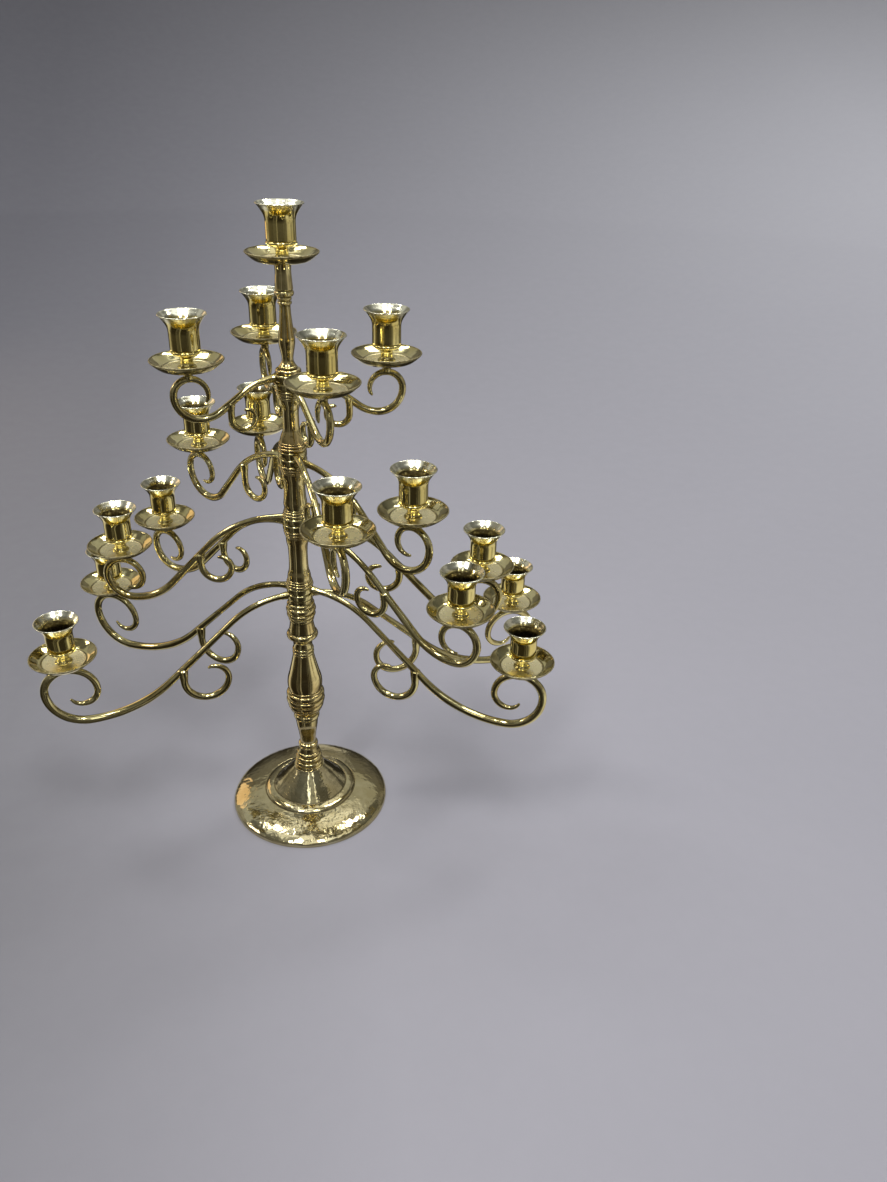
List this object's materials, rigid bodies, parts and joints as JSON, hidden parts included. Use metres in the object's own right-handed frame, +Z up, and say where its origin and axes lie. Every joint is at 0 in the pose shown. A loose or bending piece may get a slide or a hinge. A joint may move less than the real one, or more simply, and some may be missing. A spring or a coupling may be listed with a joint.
{
  "type": "tabletop candelabra",
  "caption": "Turned brass candelabra: domed foot, baluster stem, tiers of scrolled two-armed brackets that swing on a tie rod, candle cups in drip pans.",
  "frame": {"origin": "on the stem's axis, in the plane that the foot stands on", "axes": "+Z up along the stem; +X to the viewer's right and +Y away from the viewer, along the bearings that the arms have at rest"},
  "size_m": [0.5096, 0.324, 0.6185],
  "materials": {
    "foot_brass": "polished, lightly tarnished in the creases",
    "stem_brass": "polished, lightly tarnished between the turned rings",
    "bracket_brass": "cast and polished by hand",
    "pan_brass": "spun and polished, pale",
    "cup_brass": "turned and polished, golden",
    "steel": "plain, dull"
  },
  "bodies": {
    "stand": {"foot": "foot_brass", "tie_rod": "steel", "foot_washer": "steel", "foot_nut": "steel", "foot_collar": "stem_brass", "lower_baluster": "stem_brass", "stem_vase": "stem_brass", "lower_column": "stem_brass", "middle_column": "stem_brass", "upper_column": "stem_brass", "top_baluster": "stem_brass", "top_pan": "pan_brass", "top_cup": "cup_brass"},
    "tier1_upper": {"tier1_upper_bracket": "bracket_brass", "tier1_upper_left_pan": "pan_brass", "tier1_upper_left_cup": "cup_brass", "tier1_upper_right_pan": "pan_brass", "tier1_upper_right_cup": "cup_brass"},
    "tier1_lower": {"tier1_lower_bracket": "bracket_brass", "tier1_lower_left_pan": "pan_brass", "tier1_lower_left_cup": "cup_brass", "tier1_lower_right_pan": "pan_brass", "tier1_lower_right_cup": "cup_brass"},
    "tier2_upper": {"tier2_upper_bracket": "bracket_brass", "tier2_upper_left_pan": "pan_brass", "tier2_upper_left_cup": "cup_brass", "tier2_upper_right_pan": "pan_brass", "tier2_upper_right_cup": "cup_brass"},
    "tier2_lower": {"tier2_lower_bracket": "bracket_brass", "tier2_lower_left_pan": "pan_brass", "tier2_lower_left_cup": "cup_brass", "tier2_lower_right_pan": "pan_brass", "tier2_lower_right_cup": "cup_brass"},
    "tier3_upper": {"tier3_upper_bracket": "bracket_brass", "tier3_upper_left_pan": "pan_brass", "tier3_upper_left_cup": "cup_brass", "tier3_upper_right_pan": "pan_brass", "tier3_upper_right_cup": "cup_brass"},
    "tier3_lower": {"tier3_lower_bracket": "bracket_brass", "tier3_lower_left_pan": "pan_brass", "tier3_lower_left_cup": "cup_brass", "tier3_lower_right_pan": "pan_brass", "tier3_lower_right_cup": "cup_brass"},
    "tier4_upper": {"tier4_upper_bracket": "bracket_brass", "tier4_upper_left_pan": "pan_brass", "tier4_upper_left_cup": "cup_brass", "tier4_upper_right_pan": "pan_brass", "tier4_upper_right_cup": "cup_brass"},
    "tier4_lower": {"tier4_lower_bracket": "bracket_brass", "tier4_lower_left_pan": "pan_brass", "tier4_lower_left_cup": "cup_brass", "tier4_lower_right_pan": "pan_brass", "tier4_lower_right_cup": "cup_brass"}
  },
  "joints": [
    {"name": "tier1_upper_swing", "type": "hinge", "parent": "stand", "child": "tier1_upper", "pos_m": [0, 0, 0.4765], "axis": [0, 0, 1], "range_deg": [-10, 24]},
    {"name": "tier1_lower_swing", "type": "hinge", "parent": "stand", "child": "tier1_lower", "pos_m": [0, 0, 0.4695], "axis": [0, 0, 1], "range_deg": [-24, 10]},
    {"name": "tier2_upper_swing", "type": "hinge", "parent": "stand", "child": "tier2_upper", "pos_m": [0, 0, 0.4065], "axis": [0, 0, 1], "range_deg": [-55, 1]},
    {"name": "tier2_lower_swing", "type": "hinge", "parent": "stand", "child": "tier2_lower", "pos_m": [0, 0, 0.3995], "axis": [0, 0, 1], "range_deg": [-1, 55]},
    {"name": "tier3_upper_swing", "type": "hinge", "parent": "stand", "child": "tier3_upper", "pos_m": [0, 0, 0.3405], "axis": [0, 0, 1], "range_deg": [-2, 55]},
    {"name": "tier3_lower_swing", "type": "hinge", "parent": "stand", "child": "tier3_lower", "pos_m": [0, 0, 0.3335], "axis": [0, 0, 1], "range_deg": [-55, 2]},
    {"name": "tier4_upper_swing", "type": "hinge", "parent": "stand", "child": "tier4_upper", "pos_m": [0, 0, 0.2655], "axis": [0, 0, 1], "range_deg": [-55, 8]},
    {"name": "tier4_lower_swing", "type": "hinge", "parent": "stand", "child": "tier4_lower", "pos_m": [0, 0, 0.2585], "axis": [0, 0, 1], "range_deg": [-8, 55]}
  ]
}
